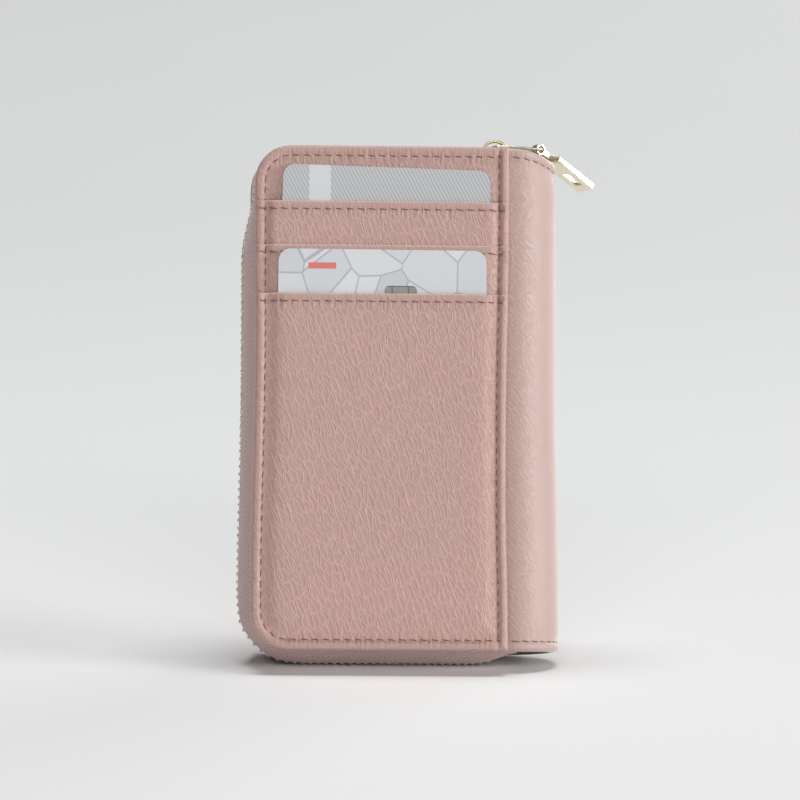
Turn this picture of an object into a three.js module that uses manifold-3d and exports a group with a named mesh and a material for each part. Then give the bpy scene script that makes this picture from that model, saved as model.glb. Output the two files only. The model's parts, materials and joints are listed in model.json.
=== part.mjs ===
// A zip-around card wallet: two stiffened leather covers on a soft half-round spine, a metal zip round the
// three open sides, and stepped card pockets sewn on the front cover. Sizes are in millimetres.
// It is built upright, with X towards the spine, -Y towards the front and Z up. It then leans back the way
// it stands: on the zip teeth along the bottom and on the bottom edge of the rear cover.
import * as THREE from "three";
import { mergeVertices } from "three/addons/utils/BufferGeometryUtils.js";
import Module from "manifold-3d";

// Clearance between pieces that lie on each other
const fit = 0.2;

// Cards
const cardWidth = 53.98;
const cardLength = 85.6;
const cardThickness = 0.76;
const cardCorner = 3.18;
const cardPlay = 0.15;

// Covers, wide enough for a card between the stitched margins of a pocket
const pocketMargin = 3;
const pocketRoom = 5.52;
const pocketEdge = 0.5;
const coverWidth = cardWidth + pocketRoom + 2 * pocketMargin + pocketEdge;
const coverHeight = 131;
const coverCorner = 9.5;
const caseDepth = 25.5;
const shellLeather = 1.2;
const boardThickness = 1.0;
const liningThickness = 0.5;

// Spine
const spineDipTop = 3.2;
const spineDipBottom = 1.9;
const spineTurnIn = 2.5;

// Zip round the three open sides
const zipTopRise = -0.2;
const zipSideRise = 2.9;
const zipBottomRise = 2.3;
const zipRiseRun = 24;
const zipEnd = 0.5;
const chainWidth = 5.4;
const rowGap = 0.8;
const toothHeight = 2.2;
const tapeThickness = 0.8;
const tapeInset = 0.8;
const stopLength = 1.2;

// Slider and its pull
const sliderLength = 7.4;
const sliderNose = 1;
const sliderWidth = 8;
const sliderTail = 6.4;
const sliderPlate = 0.5;
const postLength = 2;
const bridgeLength = 6.2;
const bridgeWidth = 1.4;
const bridgeStrap = 0.7;
const bridgeRoom = 0.65;
const linkLength = 12.2;
const linkBar = 0.7;
const linkYaw = THREE.MathUtils.degToRad(15);
const linkDroop = THREE.MathUtils.degToRad(1);
const tabYaw = THREE.MathUtils.degToRad(27);
const tabLength = 17.8;
const tabWidth = 7.8;
const tabThickness = 1.5;
const tabNeck = 3.2;
const tabShoulder = 1.4;
const tabCorner = 0.8;
const eyeWidth = 2.4;
const eyeWall = 0.5;
const windowLength = 5;
const windowWidth = 3.4;
const windowFromEnd = 2.6;

// How the cards sit in the stepped pockets on the front
const upperCardLeft = 4.2;
const upperCardDrop = 5.7;
const upperCardTilt = THREE.MathUtils.degToRad(1.5);
const lowerCardLeft = 2.9;
const lowerCardDrop = 27.4;
const lowerCardTilt = THREE.MathUtils.degToRad(0.2);
const panelLeather = 0.8;
const pocketLeather = 0.65;
const upperPocketDrop = 14.6;
const middlePocketDrop = 26;
const lowerPocketDrop = 38.8;

// Pockets inside the covers
const insideLeather = 0.5;
const insideInset = 3.4;
const insideSlotDrop = 14;
const insideSlotStep = 13;
const insideSlots = 3;
const notePocketDrop = 9;
const slipPocketDrop = 62;

// Where the laminated layers lie, measured from the middle of the case
const halfDepth = caseDepth / 2;
const shellInside = halfDepth - shellLeather;
const boardOutside = shellInside - fit;
const boardInside = boardOutside - boardThickness;
const liningOutside = boardInside - fit;
const liningInside = liningOutside - liningThickness;
const boardInset = tapeInset + tapeThickness + fit;
const chainHalf = chainWidth / 2;
const lean = Math.atan(zipBottomRise / (halfDepth - chainHalf));

const wasm = await Module();
wasm.setup();

// Solids that are joined and cut
function solid(geometry) {
  const bare = geometry.clone();
  bare.deleteAttribute("normal");
  bare.deleteAttribute("uv");
  const merged = mergeVertices(bare, 1e-4);
  return new wasm.Manifold(
    new wasm.Mesh({
      numProp: 3,
      vertProperties: merged.getAttribute("position").array,
      triVerts: new Uint32Array(merged.index.array),
    }),
  );
}

function geometryOf(body) {
  const mesh = body.getMesh();
  const geometry = new THREE.BufferGeometry();
  geometry.setAttribute("position", new THREE.BufferAttribute(mesh.vertProperties, 3));
  geometry.setIndex(new THREE.BufferAttribute(mesh.triVerts, 1));
  geometry.computeVertexNormals();
  return geometry;
}

function joined(first, second) {
  return geometryOf(solid(first).add(solid(second)));
}

function without(piece, cutter) {
  return geometryOf(solid(piece).subtract(solid(cutter)));
}

function boxBetween(low, high) {
  const size = new THREE.Vector3().subVectors(high, low);
  const middle = new THREE.Vector3().addVectors(low, high).multiplyScalar(0.5);
  return new THREE.BoxGeometry(size.x, size.y, size.z).translate(middle.x, middle.y, middle.z);
}

// A flat panel seen from the front, with round corners on its free left side
function panelShape(left, right, bottom, top, bottomRadius, topRadius) {
  const shape = new THREE.Shape();
  shape.moveTo(right, bottom);
  shape.lineTo(right, top);
  if (topRadius > 0) {
    shape.absarc(left + topRadius, top - topRadius, topRadius, Math.PI / 2, Math.PI, false);
  } else {
    shape.lineTo(left, top);
  }
  shape.absarc(left + bottomRadius, bottom + bottomRadius, bottomRadius, Math.PI, 1.5 * Math.PI, false);
  shape.closePath();
  return shape;
}

// Extrudes a shape drawn in X and Z between two depths
function panel(shape, yLow, yHigh) {
  const geometry = new THREE.ExtrudeGeometry(shape, {
    depth: yHigh - yLow,
    bevelEnabled: false,
    curveSegments: 8,
  });
  return geometry.rotateX(Math.PI / 2).translate(0, yHigh, 0);
}

// Skins a row of rings of equal point count and closes both ends
function sweep(rings) {
  const around = rings[0].length;
  const index = [];
  for (let ring = 0; ring + 1 < rings.length; ring += 1) {
    for (let point = 0; point < around; point += 1) {
      const here = ring * around + point;
      const beside = ring * around + ((point + 1) % around);
      index.push(here, beside, beside + around, here, beside + around, here + around);
    }
  }
  const lastRing = (rings.length - 1) * around;
  for (let point = 1; point + 1 < around; point += 1) {
    index.push(0, point + 1, point, lastRing, lastRing + point, lastRing + point + 1);
  }
  const geometry = new THREE.BufferGeometry().setFromPoints(rings.flat());
  geometry.setIndex(index);
  geometry.computeVertexNormals();
  return geometry;
}

// Materials, with colours as seen on the wallet
function material(color, roughness, metalness) {
  return new THREE.MeshStandardMaterial({ color, roughness, metalness });
}

const leather = material(0xc39d93, 0.62, 0);
const boardStuff = material(0xa89a8c, 0.9, 0);
const liningCloth = material(0xb08f8b, 0.85, 0);
const tapeCloth = material(0xb497a0, 0.9, 0);
const paleGold = material(0xd9cfae, 0.25, 1);
const cardSilver = material(0xb4b7ba, 0.4, 0.1);
const cardWhite = material(0xe4e6e8, 0.4, 0);

const wallet = new THREE.Group();

function add(parent, name, geometry, finish) {
  const mesh = new THREE.Mesh(geometry, finish);
  mesh.name = name;
  parent.add(mesh);
  return mesh;
}

// One cover with its lamination and its half of the zip, made for the front side.
// The rear cover is the same pattern mirrored in depth.
function coverOutline(inset) {
  const radius = coverCorner - inset;
  return panelShape(-coverWidth + inset, -inset, inset, coverHeight - inset, radius, radius);
}

// Stations along the middle of the zip: the top, two round corners, the free side and the bottom.
// Each has a point on the cover's edge, the way out, and how far the teeth stand out there.
function zipStations(endInset) {
  const cornerSteps = 8;
  const sideSteps = 10;
  const centreX = -coverWidth + coverCorner;
  const upper = coverHeight - coverCorner;
  const lower = coverCorner;
  const stations = [];
  const station = (x, z, angle, rise) => {
    stations.push({ x, z, outX: Math.cos(angle), outZ: Math.sin(angle), rise });
  };
  const corner = (centreZ, fromAngle, fromRise, toRise) => {
    for (let step = 0; step <= cornerSteps; step += 1) {
      const share = step / cornerSteps;
      const angle = fromAngle + (share * Math.PI) / 2;
      const x = centreX + coverCorner * Math.cos(angle);
      const z = centreZ + coverCorner * Math.sin(angle);
      station(x, z, angle, THREE.MathUtils.lerp(fromRise, toRise, share));
    }
  };
  station(-endInset, coverHeight, Math.PI / 2, zipTopRise);
  corner(upper, Math.PI / 2, zipTopRise, zipTopRise);
  for (let step = 1; step < sideSteps; step += 1) {
    const z = THREE.MathUtils.lerp(upper, lower, step / sideSteps);
    const share = THREE.MathUtils.smoothstep(upper - z, 0, zipRiseRun);
    station(-coverWidth, z, Math.PI, THREE.MathUtils.lerp(zipTopRise, zipSideRise, share));
  }
  corner(lower, Math.PI, zipSideRise, zipBottomRise);
  station(-endInset, 0, 1.5 * Math.PI, zipBottomRise);
  return stations;
}

// Sweeps a section of [way out, depth] corners along the zip
function alongZip(endInset, section) {
  const rings = zipStations(endInset).map(({ x, z, outX, outZ, rise }) =>
    section(rise).map(([out, y]) => new THREE.Vector3(x + outX * out, y, z + outZ * out)),
  );
  return sweep(rings);
}

function tapeSection(rise) {
  const tooth = rise - (toothHeight - tapeThickness) / 2;
  return [
    [-tapeInset, -boardOutside],
    [tooth, -chainHalf - fit],
    [tooth - tapeThickness, -chainHalf - fit],
    [-tapeInset - tapeThickness, -boardOutside],
  ];
}

function rowSection(rise) {
  return [
    [rise, -chainHalf],
    [rise, -rowGap / 2],
    [rise - toothHeight, -rowGap / 2],
    [rise - toothHeight, -chainHalf],
  ];
}

function stopAt(edgeZ, rise, way) {
  const outside = edgeZ + way * rise;
  const inside = edgeZ + way * (rise - toothHeight);
  return boxBetween(
    new THREE.Vector3(-zipEnd - stopLength, -chainHalf, Math.min(outside, inside)),
    new THREE.Vector3(-zipEnd, -rowGap / 2, Math.max(outside, inside)),
  );
}

function cover(side) {
  const group = new THREE.Group();
  const outline = panelShape(-coverWidth, 0, 0, coverHeight, coverCorner, coverCorner);
  add(group, `${side}_cover_leather`, panel(outline, -halfDepth, -shellInside), leather);
  add(group, `${side}_cover_board`, panel(coverOutline(boardInset), -boardOutside, -boardInside), boardStuff);
  add(group, `${side}_lining`, panel(coverOutline(boardInset), -liningOutside, -liningInside), liningCloth);
  add(group, `zip_tape_${side}`, alongZip(zipEnd, tapeSection), tapeCloth);
  add(group, `zip_teeth_${side}`, alongZip(zipEnd + stopLength + fit, rowSection), paleGold);
  add(group, `zip_top_stop_${side}`, stopAt(coverHeight, zipTopRise, 1), paleGold);
  add(group, `zip_bottom_stop_${side}`, stopAt(0, zipBottomRise, -1), paleGold);
  wallet.add(group);
  return group;
}

const front = cover("front");
const rear = cover("rear");
rear.scale.y = -1;

// The spine: leather, padding and lining bent round half a circle, with dipped top and bottom edges
const spineX = fit;

function spineTop(angle) {
  return coverHeight - spineDipTop * Math.sin(angle) ** 2;
}

function spineBottom(angle) {
  return spineDipBottom * Math.sin(angle) ** 2;
}

function spinePoint(radius, angle, z) {
  return new THREE.Vector3(spineX + radius * Math.sin(angle), -radius * Math.cos(angle), z);
}

function spineLayer(outer, inner, turnIn) {
  const steps = 20;
  const rings = [];
  for (let step = 0; step <= steps; step += 1) {
    const angle = (Math.PI * step) / steps;
    const bottom = spineBottom(angle) + turnIn;
    const top = spineTop(angle) - turnIn;
    rings.push([
      spinePoint(outer, angle, bottom),
      spinePoint(inner, angle, bottom),
      spinePoint(inner, angle, top),
      spinePoint(outer, angle, top),
    ]);
  }
  return sweep(rings);
}

add(wallet, "spine_leather", spineLayer(halfDepth, shellInside, 0), leather);
add(wallet, "spine_padding", spineLayer(boardOutside, boardInside, spineTurnIn), boardStuff);
add(wallet, "spine_lining", spineLayer(liningOutside, liningInside, spineTurnIn), liningCloth);

// The front panel and the stepped card pockets, each a leather panel sewn down on three sides.
// A pocket that holds a card has a slot cut in its back, open at the top.
const cardSlot = cardThickness + 2 * cardPlay;
const panelBack = halfDepth + fit;
const panelFace = panelBack + panelLeather;

add(
  front,
  "front_pocket_panel",
  panel(
    panelShape(-coverWidth, -pocketEdge, 0, coverHeight, coverCorner, coverCorner),
    -panelFace,
    -panelBack,
  ),
  leather,
);

function pocketShape(drop) {
  return panelShape(-coverWidth, -pocketEdge, 0, coverHeight - drop, coverCorner, 0);
}

// A pocket laid on the face at the given depth, with a slot as deep as one card between the stitched margins
function cardPocket(name, drop, backing, cardDrop, cardTilt) {
  const plateBack = backing + cardSlot;
  const plateFace = plateBack + pocketLeather;
  const cardBottom = coverHeight - cardDrop - cardLength - (cardWidth / 2) * Math.sin(cardTilt);
  const slot = boxBetween(
    new THREE.Vector3(-coverWidth + pocketMargin, -plateBack, cardBottom - fit),
    new THREE.Vector3(-pocketEdge - pocketMargin, -backing, coverHeight),
  );
  const body = panel(pocketShape(drop), -plateFace, -backing - fit);
  add(front, name, without(body, slot), leather);
  return plateFace;
}

// A card, turned a little about the middle of its top edge
function card(name, backing, left, drop, tilt, finish) {
  const shape = new THREE.Shape();
  const sideX = cardWidth / 2 - cardCorner;
  const low = cardCorner - cardLength;
  shape.absarc(sideX, low, cardCorner, -Math.PI / 2, 0, false);
  shape.absarc(sideX, -cardCorner, cardCorner, 0, Math.PI / 2, false);
  shape.absarc(-sideX, -cardCorner, cardCorner, Math.PI / 2, Math.PI, false);
  shape.absarc(-sideX, low, cardCorner, Math.PI, 1.5 * Math.PI, false);
  shape.closePath();
  const back = backing + cardPlay;
  const geometry = panel(shape, -back - cardThickness, -back).rotateY(tilt);
  geometry.translate(-coverWidth + pocketMargin + left + cardWidth / 2, 0, coverHeight - drop);
  add(wallet, name, geometry, finish);
}

const upperFace = cardPocket(
  "card_pocket_upper",
  upperPocketDrop,
  panelFace,
  upperCardDrop,
  upperCardTilt,
);
const middleBack = upperFace + fit;
const middleFace = middleBack + pocketLeather;
add(front, "card_pocket_middle", panel(pocketShape(middlePocketDrop), -middleFace, -middleBack), leather);
cardPocket("card_pocket_lower", lowerPocketDrop, middleFace, lowerCardDrop, lowerCardTilt);
card("upper_card", panelFace, upperCardLeft, upperCardDrop, upperCardTilt, cardSilver);
card("lower_card", middleFace, lowerCardLeft, lowerCardDrop, lowerCardTilt, cardWhite);

// Pockets inside: stepped card slots on the front lining, a note pocket and a slip pocket on the rear one
function insidePocket(parent, name, drop, layer) {
  const back = liningInside - fit - layer * (insideLeather + fit);
  const shape = panelShape(
    -coverWidth + insideInset,
    -insideInset,
    insideInset,
    coverHeight - drop,
    coverCorner - insideInset,
    0,
  );
  add(parent, name, panel(shape, -back, -back + insideLeather), leather);
}

for (let slot = 0; slot < insideSlots; slot += 1) {
  insidePocket(front, `inside_card_slot_${slot + 1}`, insideSlotDrop + slot * insideSlotStep, slot);
}
insidePocket(rear, "note_pocket", notePocketDrop, 0);
insidePocket(rear, "slip_pocket", slipPocketDrop, 1);

// The slider: two plates above and below the tooth rows, a post between the rows, and a bridge for the pull
const rowTop = coverHeight + zipTopRise;
const plateTop = rowTop + fit + sliderPlate;
const lowerPlateTop = rowTop - toothHeight - fit;
const sliderMiddle = sliderNose - sliderLength / 2;

function sliderPlateAt(bottom) {
  const shape = new THREE.Shape();
  const tailX = sliderNose - sliderLength;
  shape.moveTo(tailX, -sliderTail / 2);
  shape.lineTo(sliderMiddle, -sliderWidth / 2);
  shape.lineTo(sliderNose, -sliderWidth / 2);
  shape.lineTo(sliderNose, sliderWidth / 2);
  shape.lineTo(sliderMiddle, sliderWidth / 2);
  shape.lineTo(tailX, sliderTail / 2);
  shape.closePath();
  const plate = new THREE.ExtrudeGeometry(shape, { depth: sliderPlate, bevelEnabled: false });
  return plate.translate(0, 0, bottom);
}

const postHalf = rowGap / 2 - fit;
const post = boxBetween(
  new THREE.Vector3(sliderNose - postLength, -postHalf, lowerPlateTop - sliderPlate / 2),
  new THREE.Vector3(sliderNose, postHalf, plateTop - sliderPlate / 2),
);
const plates = [sliderPlateAt(lowerPlateTop - sliderPlate), sliderPlateAt(plateTop - sliderPlate)];
add(wallet, "zip_slider", joined(joined(plates[0], post), plates[1]), paleGold);

const barReach = linkBar * Math.SQRT1_2;
const linkLift = barReach + fit;
const bridgeInside = linkLift + barReach + bridgeRoom;
const bridge = new THREE.Shape();
const bridgeHalf = bridgeLength / 2;
bridge.absellipse(0, 0, bridgeHalf, bridgeInside + bridgeStrap, 0, Math.PI, false, 0);
bridge.absellipse(0, 0, bridgeHalf - bridgeStrap, bridgeInside, Math.PI, 0, true, 0);
bridge.closePath();
add(
  wallet,
  "slider_bridge",
  panel(bridge, -bridgeWidth / 2, bridgeWidth / 2).translate(sliderMiddle, 0, plateTop + fit),
  paleGold,
);

// The pull: a flat loop through the bridge, and a windowed tab whose eye turns on the loop's far bar
const yawGap = tabYaw - linkYaw;
const eyeBore = barReach + (eyeWidth / 2) * Math.tan(yawGap) + fit;
const eyeRadius = eyeBore + eyeWall;
const linkOpening = eyeWidth + 2 * eyeRadius * Math.sin(yawGap) + 2 * fit;
const pivot = new THREE.Vector3(sliderMiddle, 0, plateTop + fit + linkLift);
const linkTurn = new THREE.Euler(0, linkDroop, linkYaw, "ZYX");
const knuckle = new THREE.Vector3(linkLength, 0, 0).applyEuler(linkTurn).add(pivot);

function rectangle(shape, left, right, halfWidth) {
  shape.moveTo(left, -halfWidth);
  shape.lineTo(right, -halfWidth);
  shape.lineTo(right, halfWidth);
  shape.lineTo(left, halfWidth);
  shape.closePath();
  return shape;
}

const barHalf = linkBar / 2;
const loop = rectangle(new THREE.Shape(), -barHalf, linkLength + barHalf, linkOpening / 2 + linkBar);
loop.holes.push(rectangle(new THREE.Path(), barHalf, linkLength - barHalf, linkOpening / 2));
const loopGeometry = new THREE.ExtrudeGeometry(loop, { depth: linkBar, bevelEnabled: false });
const link = add(wallet, "pull_link", loopGeometry.translate(0, 0, -barHalf), paleGold);
link.position.copy(pivot);
link.rotation.copy(linkTurn);

// The tab lies on the rim of the spine: its slope is the steepest that clears every rim point under it
function tabSlope() {
  const along = new THREE.Vector3(Math.cos(tabYaw), Math.sin(tabYaw), 0);
  const across = new THREE.Vector3(-along.y, along.x, 0);
  const clear = tabThickness / 2 + fit;
  const rimSteps = 90;
  let slope = Math.PI / 2;
  for (let step = 0; step <= rimSteps; step += 1) {
    const angle = (Math.PI * step) / rimSteps;
    for (const radius of [shellInside, halfDepth]) {
      const toRim = spinePoint(radius, angle, spineTop(angle)).sub(knuckle);
      const ahead = toRim.dot(along);
      if (ahead > 0 && Math.abs(toRim.dot(across)) < tabWidth / 2 + fit) {
        const distance = Math.hypot(ahead, toRim.z);
        slope = Math.min(slope, Math.atan2(-toRim.z, ahead) - Math.asin(clear / distance));
      }
    }
  }
  return slope;
}

const tabOutline = new THREE.Shape();
const tabStart = eyeBore + eyeWall / 2;
const tabHalf = tabWidth / 2;
tabOutline.moveTo(tabStart, -eyeWidth / 2);
tabOutline.lineTo(tabNeck, -eyeWidth / 2);
tabOutline.lineTo(tabNeck + tabShoulder, -tabHalf);
tabOutline.absarc(tabLength - tabCorner, -tabHalf + tabCorner, tabCorner, -Math.PI / 2, 0, false);
tabOutline.absarc(tabLength - tabCorner, tabHalf - tabCorner, tabCorner, 0, Math.PI / 2, false);
tabOutline.lineTo(tabNeck + tabShoulder, tabHalf);
tabOutline.lineTo(tabNeck, eyeWidth / 2);
tabOutline.lineTo(tabStart, eyeWidth / 2);
tabOutline.closePath();
const windowEnd = tabLength - windowFromEnd;
tabOutline.holes.push(rectangle(new THREE.Path(), windowEnd - windowLength, windowEnd, windowWidth / 2));
const tabPlate = new THREE.ExtrudeGeometry(tabOutline, {
  depth: tabThickness,
  bevelEnabled: false,
  curveSegments: 4,
});
tabPlate.translate(0, 0, -tabThickness / 2);
const eye = new THREE.Shape().absarc(0, 0, eyeRadius, 0, 2 * Math.PI, false);
eye.holes.push(new THREE.Path().absarc(0, 0, eyeBore, 0, 2 * Math.PI, true));
const eyeRing = panel(eye, -eyeWidth / 2, eyeWidth / 2);
const tab = add(wallet, "pull_tab", joined(tabPlate, eyeRing), paleGold);
tab.position.copy(knuckle);
tab.rotation.set(0, tabSlope(), tabYaw, "ZYX");

// Lean the wallet back and set the origin at the middle of its footprint
wallet.rotation.x = -lean;
wallet.updateMatrixWorld(true);
const bounds = new THREE.Box3().setFromObject(wallet, true);
const middle = bounds.getCenter(new THREE.Vector3());
wallet.position.set(-middle.x, -middle.y, -bounds.min.z);

const group = new THREE.Group();
group.add(wallet);

export default group;
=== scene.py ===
# A zip-around card wallet in pebbled leather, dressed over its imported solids.
import json
import math

import bpy
import numpy as np
from mathutils import Matrix, Quaternion, Vector


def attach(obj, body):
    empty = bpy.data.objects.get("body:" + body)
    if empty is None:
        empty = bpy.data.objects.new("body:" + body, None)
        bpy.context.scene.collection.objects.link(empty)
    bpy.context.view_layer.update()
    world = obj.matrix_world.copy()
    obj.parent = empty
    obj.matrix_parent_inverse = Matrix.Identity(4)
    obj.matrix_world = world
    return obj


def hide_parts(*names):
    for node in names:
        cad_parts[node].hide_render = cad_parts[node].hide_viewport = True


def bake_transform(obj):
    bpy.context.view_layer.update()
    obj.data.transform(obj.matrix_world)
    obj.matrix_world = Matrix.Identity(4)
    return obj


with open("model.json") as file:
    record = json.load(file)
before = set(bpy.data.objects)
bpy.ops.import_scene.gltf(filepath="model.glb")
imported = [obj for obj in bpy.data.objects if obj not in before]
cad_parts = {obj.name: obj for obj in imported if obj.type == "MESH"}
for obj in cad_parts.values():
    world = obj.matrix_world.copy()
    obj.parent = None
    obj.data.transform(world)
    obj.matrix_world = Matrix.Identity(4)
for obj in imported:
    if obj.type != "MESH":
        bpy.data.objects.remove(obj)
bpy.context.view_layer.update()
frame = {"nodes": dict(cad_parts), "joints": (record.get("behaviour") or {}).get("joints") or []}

# Camera: a long lens from far off, a little to the left of the wallet and above it,
# turned slightly in its mount.
azimuth, elevation, roll = (math.radians(angle) for angle in (-4.0, 8.55, 1.09))
aim_point, camera_distance = Vector((-0.005235, 0, 0.0675)), 2.0
level = math.cos(elevation)
away = Vector((math.sin(azimuth) * level, -math.cos(azimuth) * level, math.sin(elevation)))
bpy.ops.object.camera_add(location=aim_point + camera_distance * away)
camera = bpy.context.object
camera.rotation_mode = "QUATERNION"
camera.rotation_quaternion = (-away).to_track_quat("-Z", "Y") @ Quaternion((0, 0, 1), roll)
camera.data.lens = 345.8
camera.data.clip_end = 60
bpy.context.scene.camera = camera

# Studio: a wide pale tabletop under an overhead softbox, with soft lights in front, on the right
# and behind on the right, and a dim even surround.
bpy.ops.mesh.primitive_plane_add(size=24)
floor = bpy.context.object
floor.name = "tabletop"


def new_material(name, color, roughness, constants=()):
    material = bpy.data.materials.new(name)
    material.use_nodes = True
    shader = material.node_tree.nodes["Principled BSDF"]
    shader.inputs["Base Color"].default_value = (*color, 1)
    shader.inputs["Roughness"].default_value = roughness
    for socket, value in dict(constants).items():
        shader.inputs[socket].default_value = value
    return material, shader


def add_node(material, kind, inputs=(), **settings):
    """A node with its settings, and its inputs set to a value or linked to another's socket."""
    tree = material.node_tree
    node = tree.nodes.new("ShaderNode" + kind)
    for setting, value in settings.items():
        setattr(node, setting, value)
    for socket, value in dict(inputs).items():
        if isinstance(value, bpy.types.NodeSocket):
            tree.links.new(value, node.inputs[socket])
        else:
            node.inputs[socket].default_value = value
    return node


def link(material, output, target):
    material.node_tree.links.new(output, target)


def own_place(material):
    """Where a point lies in its piece's own coordinates."""
    return add_node(material, "TexCoord").outputs["Object"]


def noise(material, place, scale, detail, **inputs):
    inputs.update(Vector=place, Scale=scale, Detail=detail)
    return add_node(material, "TexNoise", inputs).outputs["Fac"]


def ramp(material, value, low=0.0, high=1.0, first=0.0, last=1.0, kind="LINEAR"):
    """Goes from a first to a last value while another goes from low to high."""
    inputs = {"Value": value, "From Min": low, "From Max": high, "To Min": first, "To Max": last}
    return add_node(material, "MapRange", inputs, interpolation_type=kind).outputs["Result"]


def mixed(material, factor, first, second):
    """A colour between two others."""
    inputs = {"Factor": factor, 6: first, 7: second}
    return add_node(material, "Mix", inputs, data_type="RGBA").outputs[2]


def toned(material, color, share):
    return add_node(material, "VectorMath", {0: color, "Scale": share}, operation="SCALE").outputs[0]


paper_white, shader = new_material("tabletop white", (0.80, 0.81, 0.81), 0.7, {"Specular IOR Level": 0.1})
place = own_place(paper_white)
mottle = noise(paper_white, place, 3.0, 2.0)
tone = mixed(paper_white, mottle, (0.835, 0.845, 0.845, 1), (0.855, 0.86, 0.86, 1))
# The tabletop's colour is darkened towards the back, as painted shade of the light falling off away from the
# wallet.
depth = add_node(paper_white, "SeparateXYZ", {0: place}).outputs["Y"]
fading = ramp(paper_white, depth, 0.05, 1.0, 1.0, 0.91, "SMOOTHSTEP")
link(paper_white, toned(paper_white, tone, fading), shader.inputs["Base Color"])
floor.data.materials.append(paper_white)

world = bpy.data.worlds.new("pale studio")
bpy.context.scene.world = world
world.use_nodes = True
surround = world.node_tree.nodes["Background"]
surround.inputs["Color"].default_value = (0.80, 0.82, 0.825, 1)
surround.inputs["Strength"].default_value = 0.05


def softbox(name, place, aim, width, height, watts):
    facing = (Vector(aim) - Vector(place)).to_track_quat("-Z", "Y").to_euler()
    bpy.ops.object.light_add(type="AREA", location=place, rotation=facing)
    light = bpy.context.object
    light.name = name
    light.data.shape = "RECTANGLE"
    light.data.size = width
    light.data.size_y = height
    light.data.energy = watts


wallet_middle = (0, 0, 0.06)
softbox("overhead softbox", (0.1, 0.9, 6.0), (0, 0.2, 0), 3.4, 1.6, 238)
softbox("front softbox", (0.0, -3.2, 1.7), wallet_middle, 2.6, 0.75, 40)
softbox("right softbox", (3.0, -1.2, 0.75), wallet_middle, 1.3, 1.1, 62)
softbox("rim softbox", (2.3, 2.7, 0.9), wallet_middle, 2.0, 1.2, 40)
bpy.context.scene.view_settings.view_transform = "Standard"

# How the wallet stands: the covers lean back on the zip teeth and on the rear bottom edge.
# Each piece is modelled upright in millimetres, with X towards the spine, and then stood
# in the row frame.
cover_face = 12.75
front_fold = {joint["name"]: joint for joint in frame["joints"]}["front_fold"]
fold_point = Vector((0.1, -cover_face, 65.0))
leaning = Matrix.Rotation(math.asin(front_fold["axis"][1]), 4, "X") @ Matrix.Scale(0.001, 4)
standing = Matrix.Translation(Vector(front_fold["pos_m"]) - leaning @ fold_point) @ leaning


def select_only(piece):
    bpy.ops.object.select_all(action="DESELECT")
    piece.select_set(True)
    bpy.context.view_layer.objects.active = piece


def apply_modifier(piece, kind, **settings):
    select_only(piece)
    bpy.ops.object.modifier_add(type=kind)
    modifier = piece.modifiers[-1]
    for setting, value in settings.items():
        setattr(modifier, setting, value)
    bpy.ops.object.modifier_apply(modifier=modifier.name)


def stand(piece, material, body, slot, *nodes):
    """Stands an upright piece in the row frame and finishes it."""
    piece.data.transform(standing)
    finish(piece, material, body, slot, *nodes)


def finish(piece, material, body, slot, *nodes):
    """Gives a piece its material and smooth faces, and lets it ride in place of its solids."""
    piece.data.materials.clear()
    piece.data.materials.append(material)
    select_only(piece)
    bpy.ops.object.shade_smooth_by_angle(angle=math.radians(50))
    if body:
        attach(piece, body)
    if nodes:
        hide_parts(*nodes)


# Pebbled leather: a soft dusty rose coated leather, embossed with fine lines that lean and cross.
# Its grain follows the sheet, so each leather piece carries a map of its own flat pattern.
rose = (0.54, 0.330, 0.286)
pattern_per_mm = 0.01
line_scale, spell_scale, cell_scale, pore_scale = 31.4, 40.0, 95.0, 70.0
cross_lean, cross_spacing, cross_seed, cross_share = -22, 0.9, 0.37, 0.8


def calculated(material, operation, *values):
    """The result of a calculation on numbers and sockets."""
    return add_node(material, "Math", dict(enumerate(values)), operation=operation).outputs[0]


def shades(material, factor, color, low, high):
    """A colour between a darker and a lighter shade of itself."""
    return mixed(material, factor, *((*(share * c for c in color), 1) for share in (low, high)))


def raised(material, shader, height, strength, distance):
    """Gives a surface the relief of a height."""
    bump = add_node(material, "Bump", {"Height": height, "Strength": strength, "Distance": distance})
    link(material, bump.outputs["Normal"], shader.inputs["Normal"])


def grain_lines(material, place, lean_deg, spacing, seed):
    """Raised lines that lean across the sheet, wander, and come and go along their length."""
    leaning_over = {"Vector": place, "Rotation": (0, 0, math.radians(lean_deg))}
    turned = add_node(material, "Mapping", leaning_over).outputs[0]
    drawn_out = add_node(
        material, "Mapping", {"Vector": turned, "Location": (seed, seed, 0), "Scale": (1, 0.36, 1)}
    ).outputs[0]
    wave = add_node(
        material,
        "TexWave",
        {
            "Vector": drawn_out,
            "Scale": line_scale / spacing,
            "Distortion": 3.6,
            "Detail": 1.5,
            "Detail Scale": 2.0,
            "Detail Roughness": 0.5,
        },
    )
    line = ramp(material, wave.outputs["Fac"], 0.85, 1.0, kind="SMOOTHSTEP")
    spells = noise(material, turned, spell_scale / spacing, 1.0)
    shown = ramp(material, spells, 0.28, 0.54, kind="SMOOTHSTEP")
    return drawn_out, calculated(material, "MULTIPLY", line, shown)


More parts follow.
